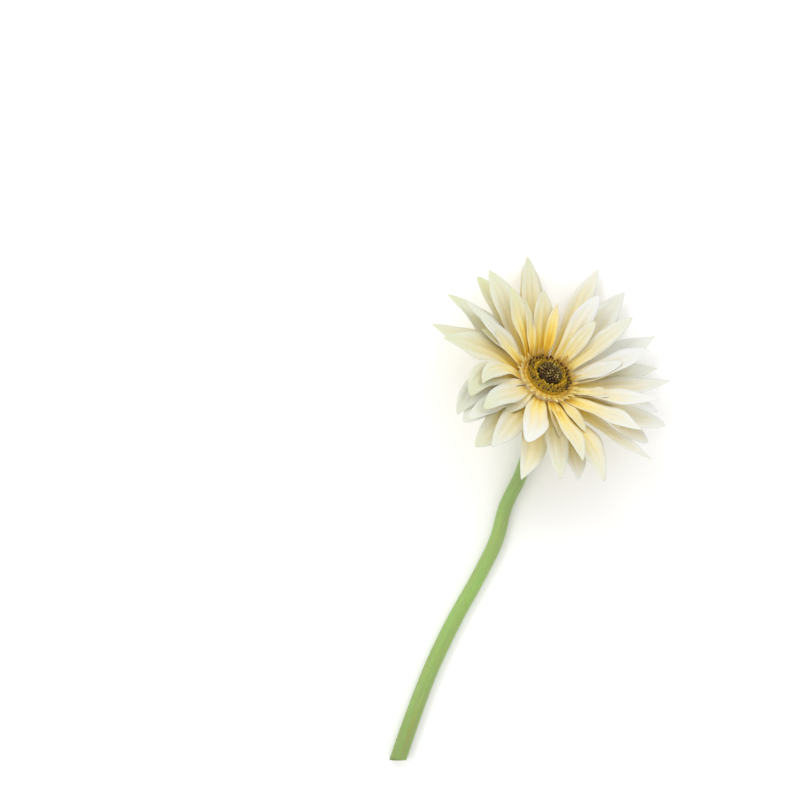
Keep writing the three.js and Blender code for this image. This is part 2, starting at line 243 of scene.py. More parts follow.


# Living stem tissue: a matt, slightly translucent skin. It is a little duller at the cut, and greyer and
# darker up at the neck, which is painted shade under the head, with lengthwise streaks a millimetre or
# so wide.
stem_skin, tree = new_material(
    "living_stem_skin", Roughness=0.48, Subsurface_Weight=0.12, Subsurface_Scale=0.0015,
    Subsurface_Radius=(0.6, 1.0, 0.25), Sheen_Weight=0.12,
)
share = add_node(tree, "ShaderNodeAttribute", {"attribute_name": "along"})
grain = add_node(tree, "ShaderNodeAttribute", {"attribute_name": "grain"})
lengthwise = add_node(
    tree, "ShaderNodeMapping", {"Scale": (1.0, 1.0, 0.04)}, {"Vector": grain.outputs["Vector"]}
)
streaks = add_node(
    tree, "ShaderNodeTexNoise", {"Scale": 0.9, "Detail": 4.0, "Roughness": 0.55}, {"Vector": lengthwise}
)
mottle = add_node(
    tree, "ShaderNodeTexNoise", {"Scale": 0.09, "Detail": 3.0}, {"Vector": grain.outputs["Vector"]}
)
shift = add_node(tree, "ShaderNodeMath", {"operation": "MULTIPLY_ADD", 1: 0.22, 2: -0.11}, {0: mottle})
place = add_node(tree, "ShaderNodeMath", {"operation": "ADD"}, {0: share.outputs["Fac"], 1: shift})
# The last stops, greyer and darker up at the neck, are painted shade under the head
greens = [(0.0, "#80964d"), (0.2, "#88a354"), (0.45, "#8eac58"), (0.75, "#8ca75d"), (1.0, "#849d64")]
skin = add_node(tree, "ShaderNodeValToRGB", {"stops": greens}, {0: place})
streaked = add_node(
    tree, "ShaderNodeMix", {"data_type": "RGBA", "blend_type": "SOFT_LIGHT", "Factor": 0.45},
    {6: skin, 7: streaks.outputs["Color"]},
)
cut = add_node(tree, "ShaderNodeAttribute", {"attribute_name": "cut"})
piths = [(0.0, "#7e9a55"), (0.3, "#b9cf8c"), (0.55, "#dfe7bd"), (0.8, "#eef0d8"), (1.0, "#cfd6a8")]
pith = add_node(tree, "ShaderNodeValToRGB", {"stops": piths}, {0: cut.outputs["Fac"]})
is_cut = add_node(
    tree, "ShaderNodeMath", {"operation": "GREATER_THAN", 1: 0.05}, {0: cut.outputs["Fac"]}
)
final = add_node(tree, "ShaderNodeMix", {"data_type": "RGBA"}, {0: is_cut, 6: streaked, 7: pith})
finish_material(tree, final, streaks, Strength=0.25, Distance=0.0002)

points, grain = scape_rings()
rings = SCAPE_STEPS + 1
shares = np.repeat(np.linspace(0, 1, rings), SCAPE_SIDES).tolist()
cuts = [0.0] * len(points)
faces = tube_faces(rings, SCAPE_SIDES)
# The cut face: rings inwards from the skin over a shallow hollow, and a middle point
cut_ring = np.array(points[:SCAPE_SIDES])
cut_middle = cut_ring.mean(axis=0)
inner = list(range(SCAPE_SIDES))
for size, pithy, depth in CUT_RINGS:
    outer, start = inner, len(points)
    for k in range(SCAPE_SIDES):
        points.append(cut_middle + (cut_ring[k] - cut_middle) * size + (0, depth, 0))
        grain.append(grain[k])
        shares.append(0.0)
        cuts.append(pithy)
    inner = list(range(start, start + SCAPE_SIDES))
    for k in range(SCAPE_SIDES):
        following = (k + 1) % SCAPE_SIDES
        faces.append((outer[k], inner[k], inner[following], outer[following]))
points.append(cut_middle + (0, PITH_DEPTH, 0))
grain.append((0, 0, 0))
shares.append(0.0)
cuts.append(1.0)
for k in range(SCAPE_SIDES):
    faces.append((inner[k], len(points) - 1, inner[(k + 1) % SCAPE_SIDES]))
# The head end, closed by one face under the involucre
faces.append(tuple(range((rings - 1) * SCAPE_SIDES, rings * SCAPE_SIDES)))
scape = mesh_object("scape", points, faces, stem_skin, along=shares, grain=grain, cut=cuts)

# Down on the scape
# Soft pale hairs of plant tissue, a third of a millimetre to nearly a millimetre long. They grow out
# of the skin all the way up, each leaning its own way.
SCAPE_DOWN = {"Density": 1.6 / MM**2, "Length": 0.8 * MM, "Thickness": 0.035 * MM}
HAIR_SIZES = {"Smallest": 0.4, "Largest": 1.1}
HAIR_LEAN = 0.6
ANY_SPIN = 3.1


def new_tree(name, **inputs):
    """A Geometry Nodes tree with these named inputs and their kinds. Each tree also has the geometry
    that it starts from, the smallest and largest size of a copy, a seed and a material."""
    tree = bpy.data.node_groups.new(name, "GeometryNodeTree")
    inputs.update(Smallest="Float", Largest="Float", Seed="Int", Material="Material")
    tree.interface.new_socket("Geometry", in_out="INPUT", socket_type="NodeSocketGeometry")
    tree.interface.new_socket("Geometry", in_out="OUTPUT", socket_type="NodeSocketGeometry")
    for label, kind in inputs.items():
        tree.interface.new_socket(
            label.replace("_", " "), in_out="INPUT", socket_type="NodeSocket" + kind
        )
    return tree, tree.nodes.new("NodeGroupInput").outputs


def stood_up(tree, group, places, copied, rotation):
    """Copies on the places, with that rotation and each of a size drawn from smallest to largest."""
    size = add_node(
        tree, "FunctionNodeRandomValue", {"data_type": "FLOAT"},
        {2: group["Smallest"], 3: group["Largest"], "Seed": group["Seed"]},
    )
    return add_node(
        tree, "GeometryNodeInstanceOnPoints",
        links={"Points": places, "Instance": copied, "Rotation": rotation, "Scale": size},
    )


def tousled(tree, group, rotation, lean):
    """The rotation with any spin and a drawn lean, up to this much to each side."""
    drawn = add_node(
        tree, "FunctionNodeRandomValue",
        {"data_type": "FLOAT_VECTOR", 0: (-lean, -lean, -ANY_SPIN), 1: (lean, lean, ANY_SPIN)},
        {"Seed": group["Seed"]},
    )
    tilt = add_node(tree, "FunctionNodeEulerToRotation", links={0: drawn})
    local = {"rotation_space": "LOCAL"}
    return add_node(tree, "FunctionNodeRotateRotation", local, {0: rotation, 1: tilt})


def end_tree(tree, group, copies):
    """Makes the copies real, gives them the material and ends the tree."""
    real = add_node(tree, "GeometryNodeRealizeInstances", links={0: copies})
    finished = add_node(
        tree, "GeometryNodeSetMaterial", links={"Geometry": real, "Material": group["Material"]}
    )
    add_node(tree, "NodeGroupOutput", links={0: finished})


def grown(name, source, tree_name, place=Matrix.Identity(4), **inputs):
    """The plain mesh object that the tree makes from the source with these inputs, put in place."""
    modifier = source.modifiers.new("grow", "NODES")
    modifier.node_group = bpy.data.node_groups[tree_name]
    for socket in modifier.node_group.interface.items_tree:
        label = socket.name.replace(" ", "_")
        if socket.in_out == "INPUT" and label in inputs:
            modifier[socket.identifier] = inputs[label]
    depsgraph = bpy.context.evaluated_depsgraph_get()
    mesh = bpy.data.meshes.new_from_object(source.evaluated_get(depsgraph), depsgraph=depsgraph)
    mesh.name = name
    source.modifiers.remove(modifier)
    mesh.transform(place)
    piece = bpy.data.objects.new(name, mesh)
    bpy.context.scene.collection.objects.link(piece)
    return piece


tree, group = new_tree("hairs_on_a_skin", Density="Float", Length="Float", Thickness="Float")
follicles = add_node(
    tree, "GeometryNodeDistributePointsOnFaces",
    links={"Mesh": group["Geometry"], "Density": group["Density"], "Seed": group["Seed"]},
)
upright = add_node(
    tree, "FunctionNodeAlignRotationToVector", {"axis": "Z"}, {"Vector": follicles.outputs["Normal"]}
)
hair = add_node(
    tree, "GeometryNodeMeshCone", {"fill_type": "NONE", "Vertices": 3, "Radius Top": 0.0},
    {"Radius Bottom": group["Thickness"], "Depth": group["Length"]},
)
leaning = tousled(tree, group, upright, HAIR_LEAN)
end_tree(tree, group, stood_up(tree, group, follicles, hair, leaning))

# Plant down: fine hollow hairs that scatter light, so they show as a pale bloom along the edges.
plant_down, tree = new_material(
    "plant_down", Roughness=0.5, Subsurface_Weight=0.3, Subsurface_Scale=0.0003,
    Subsurface_Radius=(1.0, 1.0, 0.8),
)
coordinates = add_node(tree, "ShaderNodeTexCoord")
tuft = add_node(tree, "ShaderNodeTexNoise", {"Scale": 260.0}, {"Vector": coordinates.outputs["Object"]})
pales = [(0.3, "#cdd9a8"), (0.7, "#e9ecd6")]
pale = add_node(tree, "ShaderNodeValToRGB", {"stops": pales}, {0: tuft})
finish_material(tree, pale)

scape_down = grown(
    "scape_down", scape, "hairs_on_a_skin", Seed=4, Material=plant_down, **SCAPE_DOWN, **HAIR_SIZES
)
# Hairs on the underside are pressed flat, so what would reach below the surface stays above it
for vertex in scape_down.data.vertices:
    vertex.co.z = max(vertex.co.z, 0.0)
belongs(scape, "stem_skin", "stem")
belongs(scape_down, "stem_skin")

# Involucre
# The green cup that holds the head together, and its three overlapping rows of narrow pointed
# bracts. They grow from the scape's end, leathery and downy, and stand a little off at the tips.
CUP_RIM = -4.4
CUP_RADIUS = 12.6
CUP_BASE_RADIUS = HEAD_RADIUS + 0.2
CUP_ROUNDNESS = 0.8
CUP_SIDES = 48
CUP_STEPS = 14
CUP_TONE = 0.3
BRACT_ROWS = [
    {"count": 12, "foot": -14.8, "tip": -8.4, "width": 3.8, "spread": 1.0},
    {"count": 14, "foot": -12.6, "tip": -7.0, "width": 3.8, "spread": 1.4},
    {"count": 16, "foot": -10.0, "tip": -5.7, "width": 3.6, "spread": 1.8},
]
BRACT_STEPS = 12
BRACT_COLUMNS = 8
BRACT_THICKNESS = 0.5
BRACT_KEEL = 0.35
BRACT_THINNING = 0.6
BRACT_STANDOFF = 0.15
BRACT_JITTER = 0.03
BRACT_SIZES = {"Smallest": 0.97, "Largest": 1.0}
BRACT_DOWN = {"Density": 2.2 / MM**2, "Length": 0.7 * MM, "Thickness": 0.03 * MM}

# The head's own frame, with its axis up, as a matrix that puts what is made in it in its place
HEAD_PLACE = Matrix.Translation(Vector(BLOOM_CENTRE * MM)) @ Matrix(
    (DOWNHILL, LEVEL, OUT_OF_FACE)
).transposed().to_4x4()


def turned(profile, sides):
    """Points and faces of a form turned about the head's axis, in the head's own frame."""
    angles = math.tau * np.arange(sides) / sides
    points = [(r * math.cos(a), r * math.sin(a), height) for r, height in profile for a in angles]
    faces = tube_faces(len(profile), sides)
    faces.append(tuple(reversed(range(sides))))
    faces.append(tuple(range((len(profile) - 1) * sides, len(profile) * sides)))
    return points, faces


def blade(grid, thickness):
    """Points and faces of a thin blade: grid holds the points of its middle sheet, in rows from foot
    to tip and each row from right to left, and thickness has a value for each of them."""
    along = np.gradient(grid, axis=0)
    side = np.gradient(grid, axis=1)
    normal = unit(np.cross(along, side) + 1e-12)
    offset = normal * np.asarray(thickness)[..., None] / 2
    rows, columns = grid.shape[:2]
    points = np.concatenate(((grid + offset).reshape(-1, 3), (grid - offset).reshape(-1, 3)))
    under = rows * columns

    def at(i, j):
        return i * columns + j

    faces = []
    for i in range(rows - 1):
        for j in range(columns - 1):
            face = (at(i, j), at(i + 1, j), at(i + 1, j + 1), at(i, j + 1))
            faces.append(face)
            faces.append(tuple(corner + under for corner in reversed(face)))
    rim = [at(i, 0) for i in range(rows)] + [at(rows - 1, j) for j in range(1, columns)]
    rim += [at(i, columns - 1) for i in range(rows - 2, -1, -1)]
    rim += [at(0, j) for j in range(columns - 2, 0, -1)]
    for a, b in zip(rim, rim[1:] + rim[:1]):
        faces.append((b, a, a + under, b + under))
    return points, faces


def cup_radius(height):
    share = min(max((height - CUP_BASE) / (CUP_RIM - CUP_BASE), 0), 1)
    widening = math.sin(math.pi / 2 * share) ** CUP_ROUNDNESS
    return CUP_BASE_RADIUS + (CUP_RADIUS - CUP_BASE_RADIUS) * widening


def bract_width_share(share):
    """Full width up to the shoulder, then narrower towards the tip."""
    shoulder, run, roundness, tip = 0.2, 0.82, 0.8, 0.03
    return max(math.cos(math.pi / 2 * max(share - shoulder, 0) / run) ** roundness, tip)


def bract(row):
    """One bract of a row in the head's own frame: keeled, with a thin edge and a drawn-out tip."""
    grid, cover, share_of = [], [], []
    for i in range(BRACT_STEPS + 1):
        share = i / BRACT_STEPS
        height = row["foot"] + (row["tip"] - row["foot"]) * share
        radius = cup_radius(height) + BRACT_STANDOFF + row["spread"] * share**2
        half = row["width"] / 2 * bract_width_share(share)
        line = []
        for u in np.linspace(-1, 1, BRACT_COLUMNS + 1):
            keel = BRACT_KEEL * (1 - abs(u)) ** 2
            angle = -u * half / radius
            reach = radius + keel
            line.append((reach * math.cos(angle), reach * math.sin(angle), height))
            cover.append(BRACT_THICKNESS * (1 - BRACT_THINNING * u * u))
            share_of.append(share)
        grid.append(line)
    return np.array(grid), np.array(cover).reshape(BRACT_STEPS + 1, -1), share_of


# Bract tissue: leathery and matt, a patchy dull green that pales upwards, with a tip that dries brown.
bract_skin, tree = new_material(
    "leathery_bract", Roughness=0.62, Subsurface_Weight=0.05, Subsurface_Scale=0.001, Sheen_Weight=0.15
)
share = add_node(tree, "ShaderNodeAttribute", {"attribute_name": "along"})
coordinates = add_node(tree, "ShaderNodeTexCoord")
patches = add_node(
    tree, "ShaderNodeTexNoise", {"Scale": 420.0, "Detail": 5.0, "Roughness": 0.6},
    {"Vector": coordinates.outputs["Object"]},
)
greens = [(0.0, "#7f9d50"), (0.5, "#8faa5c"), (0.85, "#a3b06a"), (1.0, "#8d7a4e")]
bract_green = add_node(tree, "ShaderNodeValToRGB", {"stops": greens}, {0: share.outputs["Fac"]})
patched = add_node(
    tree, "ShaderNodeMix", {"data_type": "RGBA", "blend_type": "SOFT_LIGHT", "Factor": 0.5},
    {6: bract_green, 7: patches.outputs["Color"]},
)
finish_material(tree, patched, patches, Strength=0.4, Distance=0.0002)


def evenly_round(tree, group):
    """Points, one for each copy, and the even steps of their angles round the head's axis."""
    places = add_node(tree, "GeometryNodePoints", links={"Count": group["Count"]})
    number = add_node(tree, "GeometryNodeInputIndex")
    step = add_node(tree, "ShaderNodeMath", {"operation": "DIVIDE", 0: math.tau}, {1: group["Count"]})
    angle = add_node(
        tree, "ShaderNodeMath", {"operation": "MULTIPLY_ADD"},
        {0: number, 1: step, 2: group["First Turn"]},
    )
    return places, angle


tree, group = new_tree("whorl_of_bracts", Count="Int", First_Turn="Float", Turn_Jitter="Float")
places, angle = evenly_round(tree, group)
least = add_node(tree, "ShaderNodeMath", {"operation": "MULTIPLY", 1: -1.0}, {0: group["Turn Jitter"]})
jitter = add_node(
    tree, "FunctionNodeRandomValue", {"data_type": "FLOAT"},
    {2: least, 3: group["Turn Jitter"], "Seed": group["Seed"]},
)
angle = add_node(tree, "ShaderNodeMath", {"operation": "ADD"}, {0: angle, 1: jitter})
turn = add_node(tree, "FunctionNodeAxisAngleToRotation", {"Axis": (0.0, 0.0, 1.0)}, {"Angle": angle})
end_tree(tree, group, stood_up(tree, group, places, group["Geometry"], turn))

heights = np.linspace(CUP_BASE, CUP_RIM, CUP_STEPS + 1)
points, faces = turned([(cup_radius(height), height) for height in heights], CUP_SIDES)
cup = mesh_object("involucre_cup", points, faces, bract_skin, along=[CUP_TONE] * len(points))
cup.data.transform(HEAD_PLACE)
belongs(cup, "bract_green", "involucre")
for r, row in enumerate(BRACT_ROWS):
    grid, cover, share_of = bract(row)
    points, faces = blade(grid, cover)
    source = mesh_object("one_bract", points, faces, bract_skin, along=share_of + share_of)
    bracts = grown(
        f"bracts_{r + 1}", source, "whorl_of_bracts", HEAD_PLACE, Count=row["count"],
        First_Turn=math.pi * r / row["count"], Turn_Jitter=BRACT_JITTER, Seed=20 + r,
        Material=bract_skin, **BRACT_SIZES,
    )
    bpy.data.objects.remove(source)
    belongs(bracts, "bract_green")
    bract_down = grown(
        f"bract_down_{r + 1}", bracts, "hairs_on_a_skin", Seed=30 + r, Material=plant_down,
        **BRACT_DOWN, **HAIR_SIZES,
    )
    belongs(bract_down, "bract_green")

# Ray florets
# The petals, in four layers from the outermost and lowest to the innermost. Each is one soft strap
# of tissue, a third of a millimetre thick, narrow at the root, widest past its middle and pointed,
# channelled along its length. They grow from the edge of the head, over the involucre.
RAY_ROOT_RADIUS = 11.5
# A layer's rise and fall are its petals' slopes at the root and the tip, in degrees: the mean, and
# what it gains downhill and sideways. What its length gains is a share to each of these sides.
RAY_LAYERS = [
    {
        "count": 15, "seed": 3507, "phase": 3.7, "length": 42.9, "width": 12.4, "root_height": -2.2,
        "longer": (0.1, 0), "rise": (12.2, 5.4, -0.9), "fall": (-21.7, 23.4, 8),
    },
    {
        "count": 15, "seed": 2995, "phase": 11.3, "length": 42.5, "width": 11.4, "root_height": -1.5,
        "longer": (0.1, -0.07), "rise": (17.9, 4.5, 5), "fall": (8.6, 27.9, -3.3),
    },
    {
        "count": 12, "seed": 1299, "phase": 6.9, "length": 35.5, "width": 9.6, "root_height": -0.8,
        "longer": (-0.05, -0.1), "rise": (36, 12, 0.7), "fall": (12, 25.5, -8),
    },
    {
        "count": 10, "seed": 54170, "phase": 27, "length": 23.2, "width": 6.6, "root_height": -0.2,
        "longer": (0.08, 0.06), "rise": (36, 20, 0), "fall": (2, 36, 0),
    },
]
RAY_DROOP = {"azimuth": math.radians(125), "swing": math.radians(74), "narrowness": 16}
SOLID_STEPS = 9
RAY_STEPS = 36
RAY_COLUMNS = 12
RAY_THICKNESS = 0.34
RAY_EDGE = 0.12
RAY_CLEARANCE = 0.25
GOLDEN_ANGLE = math.radians(137.508)
# What a petal's own draw adds to its layer's values at most: shares of the step between petals, of
# the length and of the width, and degrees
RAY_SPREAD = {"turn": 0.28, "length": 0.08, "width": 0.2, "rise": 4, "fall": 8}
RAY_ROLL = 16
RAY_BEND = 1.3
TIP_BEND = 260
TIP_BEND_START = 0.72
TIP_ROUNDING = {"usual": 0.8, "spread": 0.2, "wave": 5}
# Depth of the petal's channel and heights of its folds, ruffles and sway, in shares of half its width
CHANNEL = {"root": 0.16, "loss": 0.12, "usual": 1.5, "spread": 0.9, "roundness": 1.6}
FOLD = 1 / 12
RUFFLE = 0.15
RUFFLE_WAVES = 1.7
RUFFLE_SLANT = 0.25
SWAY = 0.18
RELIEF_RUN = 1.15
CHARACTER_SEED = 11
GRAIN_APART = 20.0
# Painted shade and light round the head, as degrees and strengths: deeper gold on the sides where the
# petals stand in shade, paler where they are lit. Then what takes a petal towards the pale end of its
# colours and towards green, a green that is partly its own tint and partly painted shade on one side
PAINTED_SHADE_AND_LIGHT_SIDES = [(-28, -0.9), (18, 1.5), (140, -0.3), (188, 0.4), (258, 0.45)]
GREEN_SHADE_SIDE = math.radians(100)
PALE_LENGTH = 34
# In paleness, the golden side term is painted shade and light from those sides, the groove term deepens
# the gold in the folds' troughs, partly painted shade, and the edge term is a painted highlight
PALENESS_AND_PAINTED_LIGHT = {"start": 0.1, "painted_shade_side": -0.24, "tone": -0.14, "groove": -0.1, "edge": 0.2}
GREEN_TINT_AND_SHADE = {"start": 0.25, "tone": 0.3, "side": 0.3}


def seeded_draws(seed):
    """Draws between -1 and 1, the same each run."""
    state = seed

    def draw():
        nonlocal state
        state = state * 16807 % 2147483647
        return 2 * state / 2147483647 - 1

    return draw


def settled(points, clearance):
    """What would sink into the surface lies along it instead."""
    softness = 0.8
    depth = (points[..., 2] - clearance) / softness
    points[..., 2] = clearance + softness * np.logaddexp(0, depth)
    return points


def ray_width_share(share, rounding):
    widest, root, tip = 0.56, 0.48, 0.015
    if share < widest:
        return root + (1 - root) * math.sin(math.pi / 2 * share / widest) ** 2
    towards_tip = min((share - widest) / (1 - widest), 1)
    return tip + (1 - tip) * max(math.cos(math.pi / 2 * towards_tip), 0) ** rounding


def wave_round(mean, downhill, sideways, angle):
    """A value that changes smoothly round the head: its mean, and what it gains to two sides."""
    return mean + downhill * math.cos(angle) + sideways * math.sin(angle)


def ray_petal(layer, ray):
    """The sheet of one petal as a grid of points, and how deep in a groove, how far along and how
    far across each of them is."""
    nearness = max(math.cos(ray["azimuth"] - RAY_DROOP["azimuth"]), 0)
    swing = RAY_DROOP["swing"] * nearness ** RAY_DROOP["narrowness"]
    point = head_point(ray["azimuth"], RAY_ROOT_RADIUS, layer["root_height"])
    lag = 0.5 / SOLID_STEPS
    grid, groove, along_of, across_of = [], [], [], []
    for i in range(RAY_STEPS + 1):
        share = i / RAY_STEPS
        bent = max(share - lag, 0) ** RAY_BEND
        out = outwards(ray["azimuth"] + swing * bent)
        across = np.cross(OUT_OF_FACE, out)
        slope = ray["rise"] + (ray["fall"] - ray["rise"]) * bent
        slope += ray["tip_bend"] * max(share - TIP_BEND_START, 0) ** 2
        slope = math.radians(slope)
        along = out * math.cos(slope) + OUT_OF_FACE * math.sin(slope)
        over = OUT_OF_FACE * math.cos(slope) - out * math.sin(slope)
        roll = math.radians(ray["roll"] * share)
        side = across * math.cos(roll) + over * math.sin(roll)
        half = ray["width"] / 2 * ray_width_share(share, ray["rounding"])
        channel = (CHANNEL["root"] - CHANNEL["loss"] * share) * ray["cupping"]
        sway = SWAY * ray["sway"] * math.sin(math.tau * share)
        relief = math.sin(math.pi * min(RELIEF_RUN * share, 1)) ** 0.5
        line = []
        for u in np.linspace(-1, 1, RAY_COLUMNS + 1):
            crest = math.cos(3 * math.pi * u + 0.5 * ray["skew"])
            phase = RUFFLE_WAVES * share + ray["ruffle"] + RUFFLE_SLANT * u
            folds = FOLD * crest * (1 - u * u) + RUFFLE * math.sin(math.tau * phase) * u * u
            lift = folds * relief - channel * (1 - abs(u) ** CHANNEL["roundness"])
            line.append(point + side * half * (u + sway) + over * half * lift)
            # Where the folds run low: the pale attribute turns deeper gold there, partly the petal's own
            # colour and partly painted shade in the troughs
            groove.append(0.5 - 0.5 * crest)
            along_of.append(share)
            across_of.append(half * u)
        grid.append(line)
        point = point + along * ray["length"] / RAY_STEPS
    return settled(np.array(grid), RAY_CLEARANCE), groove, along_of, across_of


def add_blade(points, faces, grid, thickness):
    """Adds one more blade to the points and faces of a piece that has many."""
    blade_points, blade_faces = blade(grid, thickness)
    first = len(points)
    points.extend(blade_points)
    faces.extend(tuple(corner + first for corner in face) for face in blade_faces)


# Petal tissue: a satin skin of tiny cells over loose, bright flesh that a little light soaks into. It
# is golden at the root, cream along the blade and near white at the end, with fine veins about a
# millimetre apart. The paler edges are a painted highlight, and the yellow running out along the
# channels is partly its own colour and partly painted shade. Deeper gold or paler sides of the head, and
# a greener, darker side, are painted shade and light too.
petal_skin, tree = new_material(
    "petal_tissue", Roughness=0.46, Subsurface_Weight=0.15, Subsurface_Scale=0.003,
    Subsurface_Radius=(1.0, 0.88, 0.5), Specular_IOR_Level=0.35, Sheen_Weight=0.1,
)
attribute = {
    name: add_node(tree, "ShaderNodeAttribute", {"attribute_name": name}).outputs
    for name in ("pale", "green", "under", "grain")
}
veins_way = add_node(
    tree, "ShaderNodeMapping", {"Scale": (1.0, 0.03, 1.0)}, {"Vector": attribute["grain"]["Vector"]}
)
veins = add_node(
    tree, "ShaderNodeTexNoise", {"Scale": 1.1, "Detail": 3.0, "Roughness": 0.6}, {"Vector": veins_way}
)
blush = add_node(
    tree, "ShaderNodeTexNoise", {"Scale": 0.12, "Detail": 2.0}, {"Vector": attribute["grain"]["Vector"]}
)
place = attribute["pale"]["Fac"]
for source, amount in ((veins, -0.25), (blush, -0.2)):
    place = add_node(
        tree, "ShaderNodeMath", {"operation": "MULTIPLY_ADD", 1: amount}, {0: source, 2: place}
    )
place = add_node(tree, "ShaderNodeMath", {"operation": "ADD", 1: 0.22, "use_clamp": True}, {0: place})
creams = [(0.0, "#d8a418"), (0.12, "#e9c34a"), (0.26, "#e9d37e"), (0.44, "#e2d3a2")]
creams += [(0.64, "#dbd4b9"), (0.82, "#d9d7cb"), (1.0, "#d8d9d5")]
upper = add_node(tree, "ShaderNodeValToRGB", {"stops": creams}, {0: place})
backs = [(0.0, "#ecc45c"), (0.3, "#ebd592"), (0.6, "#e8dbb2"), (0.9, "#e6e0c8"), (1.0, "#e6e3d2")]
lower = add_node(tree, "ShaderNodeValToRGB", {"stops": backs}, {0: place})
both = add_node(
    tree, "ShaderNodeMix", {"data_type": "RGBA"}, {0: attribute["under"]["Fac"], 6: upper, 7: lower}
)
# Multiplies in the green, which is partly the petal's own tint and partly painted shade
greener_and_shaded = add_node(
    tree, "ShaderNodeMix", {"data_type": "RGBA", "blend_type": "MULTIPLY", 7: linear("#dfe6a4")},
    {0: attribute["green"]["Fac"], 6: both},
)
cells = add_node(
    tree, "ShaderNodeTexNoise", {"Scale": 5.0, "Detail": 2.0}, {"Vector": attribute["grain"]["Vector"]}
)
height = add_node(tree, "ShaderNodeMath", {"operation": "MULTIPLY_ADD", 1: 0.25}, {0: cells, 2: veins})
finish_material(tree, greener_and_shaded, height, Strength=0.35, Distance=0.0003)

looks = np.random.default_rng(CHARACTER_SEED)
points, faces = [], []
attributes = {name: [] for name in ("pale", "green", "under", "grain")}
petal_count = 0
for layer in RAY_LAYERS:
    draw = seeded_draws(layer["seed"])
    for i in range(layer["count"]):
        step = i + RAY_SPREAD["turn"] * draw()
        azimuth = math.radians(layer["phase"] + 360 * step / layer["count"])
        longer = wave_round(1, *layer["longer"], azimuth)
        ray = {
            "azimuth": azimuth,
            "length": layer["length"] * (longer + RAY_SPREAD["length"] * draw()),
            "width": layer["width"] * (1 + RAY_SPREAD["width"] * draw()),
            "rise": wave_round(*layer["rise"], azimuth) + RAY_SPREAD["rise"] * draw(),
            "fall": wave_round(*layer["fall"], azimuth) + RAY_SPREAD["fall"] * draw(),
            "roll": RAY_ROLL * math.sin(GOLDEN_ANGLE * i),
        }
        tip_bend, cupping, skew, ruffle, sway, tone, green = looks.uniform(-1, 1, 7)
        roundness = math.sin(TIP_ROUNDING["wave"] * petal_count)
        ray.update(skew=skew, ruffle=ruffle, sway=sway, tip_bend=TIP_BEND * tip_bend)
        ray["cupping"] = CHANNEL["usual"] + CHANNEL["spread"] * cupping
        ray["rounding"] = TIP_ROUNDING["usual"] + TIP_ROUNDING["spread"] * roundness
        grid, groove, along_of, across_of = ray_petal(layer, ray)
        edge = np.abs(np.linspace(-1, 1, RAY_COLUMNS + 1)) ** 2
        # Paler towards the edges: a painted highlight
        edge_highlight_of = np.tile(edge, RAY_STEPS + 1).tolist()
        cover = np.tile(RAY_THICKNESS + (RAY_EDGE - RAY_THICKNESS) * edge, (RAY_STEPS + 1, 1))
        add_blade(points, faces, grid, cover)
        # Painted shade and light: how much deeper gold or paler this petal is for the side of the head
        # it is on
        golden = sum(
            strength * max(math.cos(azimuth - math.radians(side)), 0) ** 4
            for side, strength in PAINTED_SHADE_AND_LIGHT_SIDES
        )
        paler = PALENESS_AND_PAINTED_LIGHT["start"] + PALENESS_AND_PAINTED_LIGHT["painted_shade_side"] * golden + PALENESS_AND_PAINTED_LIGHT["tone"] * tone
        reach = min(ray["length"] / PALE_LENGTH, 1)
        # Both faces have the same values, but for the side that they are on
        attributes["pale"] += [
            s * reach + paler + PALENESS_AND_PAINTED_LIGHT["groove"] * g + PALENESS_AND_PAINTED_LIGHT["edge"] * e
            for s, g, e in zip(along_of, groove, edge_highlight_of)
        ] * 2
        # The green is partly the petal's own tint, drawn at random, and partly painted shade, stronger
        # towards one side of the head
        greener_and_shaded = GREEN_TINT_AND_SHADE["start"] + GREEN_TINT_AND_SHADE["tone"] * green
        greener_and_shaded = max(greener_and_shaded + GREEN_TINT_AND_SHADE["side"] * math.cos(azimuth - GREEN_SHADE_SIDE), 0)
        attributes["green"] += [greener_and_shaded * s**2 for s in along_of] * 2
        attributes["under"] += [0.0] * len(along_of) + [1.0] * len(along_of)
        attributes["grain"] += [
            (a, ray["length"] * s, GRAIN_APART * petal_count) for a, s in zip(across_of, along_of)
        ] * 2
        petal_count += 1
ray_florets = mesh_object("ray_florets", points, faces, petal_skin, **attributes)
belongs(ray_florets, "ray_petal", "ray_petals")

# Collar
# The ring of pale flesh at the edge of the head, from which the ray florets grow, and its fluted
# shoulder that runs in under the disc. Each row is a radius, a height, the flutes' depth and how pale.
COLLAR = [
    (11.1, CUP_RIM + GAP, 0.0, 0.3),
    (12.1, -3.1, 0.0, 0.3),
    (11.9, 0.0, 0.14, 0.5),
    (11.2, 0.5, 0.14, 0.36),
    (10.2, 0.9, 0.1, 0.16),
    (9.2, 1.1, 0.0, 0.0),
]
COLLAR_SIDES = 208
FLUTES = 26
points, faces = turned([row[:2] for row in COLLAR], COLLAR_SIDES)
paleness, fluted = [], []
for number, (x, y, z) in enumerate(points):
    _, _, depth, pale = COLLAR[number // COLLAR_SIDES]
    flute = depth * math.cos(FLUTES * math.atan2(y, x))
    fluted.append((x, y, z + flute))
    # Paleness rises and falls with the flutes: paler on their crests, deeper gold in their hollows
    paleness.append(pale + flute)
collar = mesh_object(
    "ray_collar", fluted, faces, petal_skin, pale=paleness, green=[0.0] * len(fluted),
    under=[0.0] * len(fluted), grain=[(x, 0.0, y) for x, y, _ in fluted],
)
collar.data.transform(HEAD_PLACE)
belongs(collar, "ray_petal")

